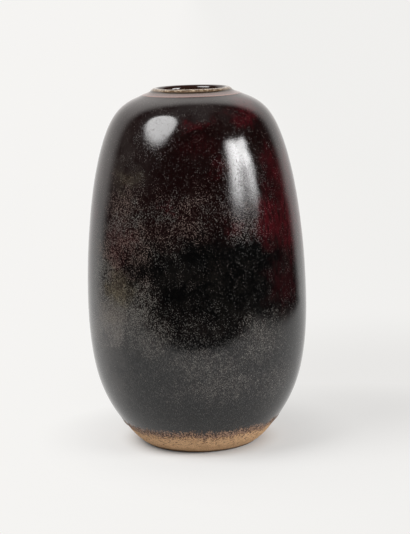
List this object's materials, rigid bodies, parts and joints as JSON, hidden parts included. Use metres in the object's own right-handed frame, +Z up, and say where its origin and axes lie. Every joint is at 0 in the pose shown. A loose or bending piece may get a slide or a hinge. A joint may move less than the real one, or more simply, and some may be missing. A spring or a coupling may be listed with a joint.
{
  "type": "vase",
  "caption": "Thrown stoneware meiping vase: tall rounded body, small low neck with a rolled lip, dark speckled glaze over a bare turned foot.",
  "frame": {"origin": "on the pot's axis, in the plane that its foot stands on", "axes": "+Z up along the axis, towards the mouth; the pot is round, so X and Y are any two level directions"},
  "size_m": [0.247, 0.247, 0.4],
  "materials": {
    "clay": "unglazed buff stoneware, matte, finely sandy, turned at the foot",
    "slip": "fired slip, matte",
    "outer_glaze": "near-black iron glaze with oxblood red patches and fine pale speckle, glossy",
    "liner_glaze": "dark brown glaze, glossy"
  },
  "bodies": {
    "root": {"base_section": "clay", "shoulder_section": "clay", "neck_ring": "clay", "body_luting_slip": "slip", "neck_luting_slip": "slip", "outer_glaze": "outer_glaze", "liner_glaze": "liner_glaze"}
  },
  "joints": []
}
